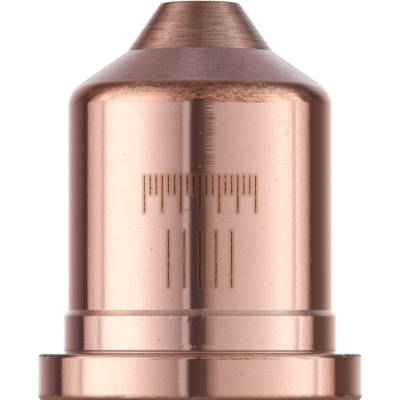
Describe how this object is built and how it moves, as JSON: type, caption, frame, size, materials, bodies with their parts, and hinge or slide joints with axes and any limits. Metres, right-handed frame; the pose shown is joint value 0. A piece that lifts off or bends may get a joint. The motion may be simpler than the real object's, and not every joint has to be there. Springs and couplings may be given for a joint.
{
  "type": "plasma torch nozzle",
  "caption": "Turned copper nozzle for a plasma cutting torch: flange at the rear, stepped bore, straight body, sloped shoulder and a coned tip with a fine orifice.",
  "frame": {"origin": "centre of the flange's rear face, on the axis of turning", "axes": "+Z along the axis of turning, from the flange to the tip; X and Y are alike because the part is round"},
  "size_m": [0.024, 0.024, 0.0294],
  "materials": {
    "copper": "bare copper as turned, bright and satin in turns, with brown heat tint on the shoulder"
  },
  "bodies": {
    "root": {"nozzle": "copper"}
  },
  "joints": []
}
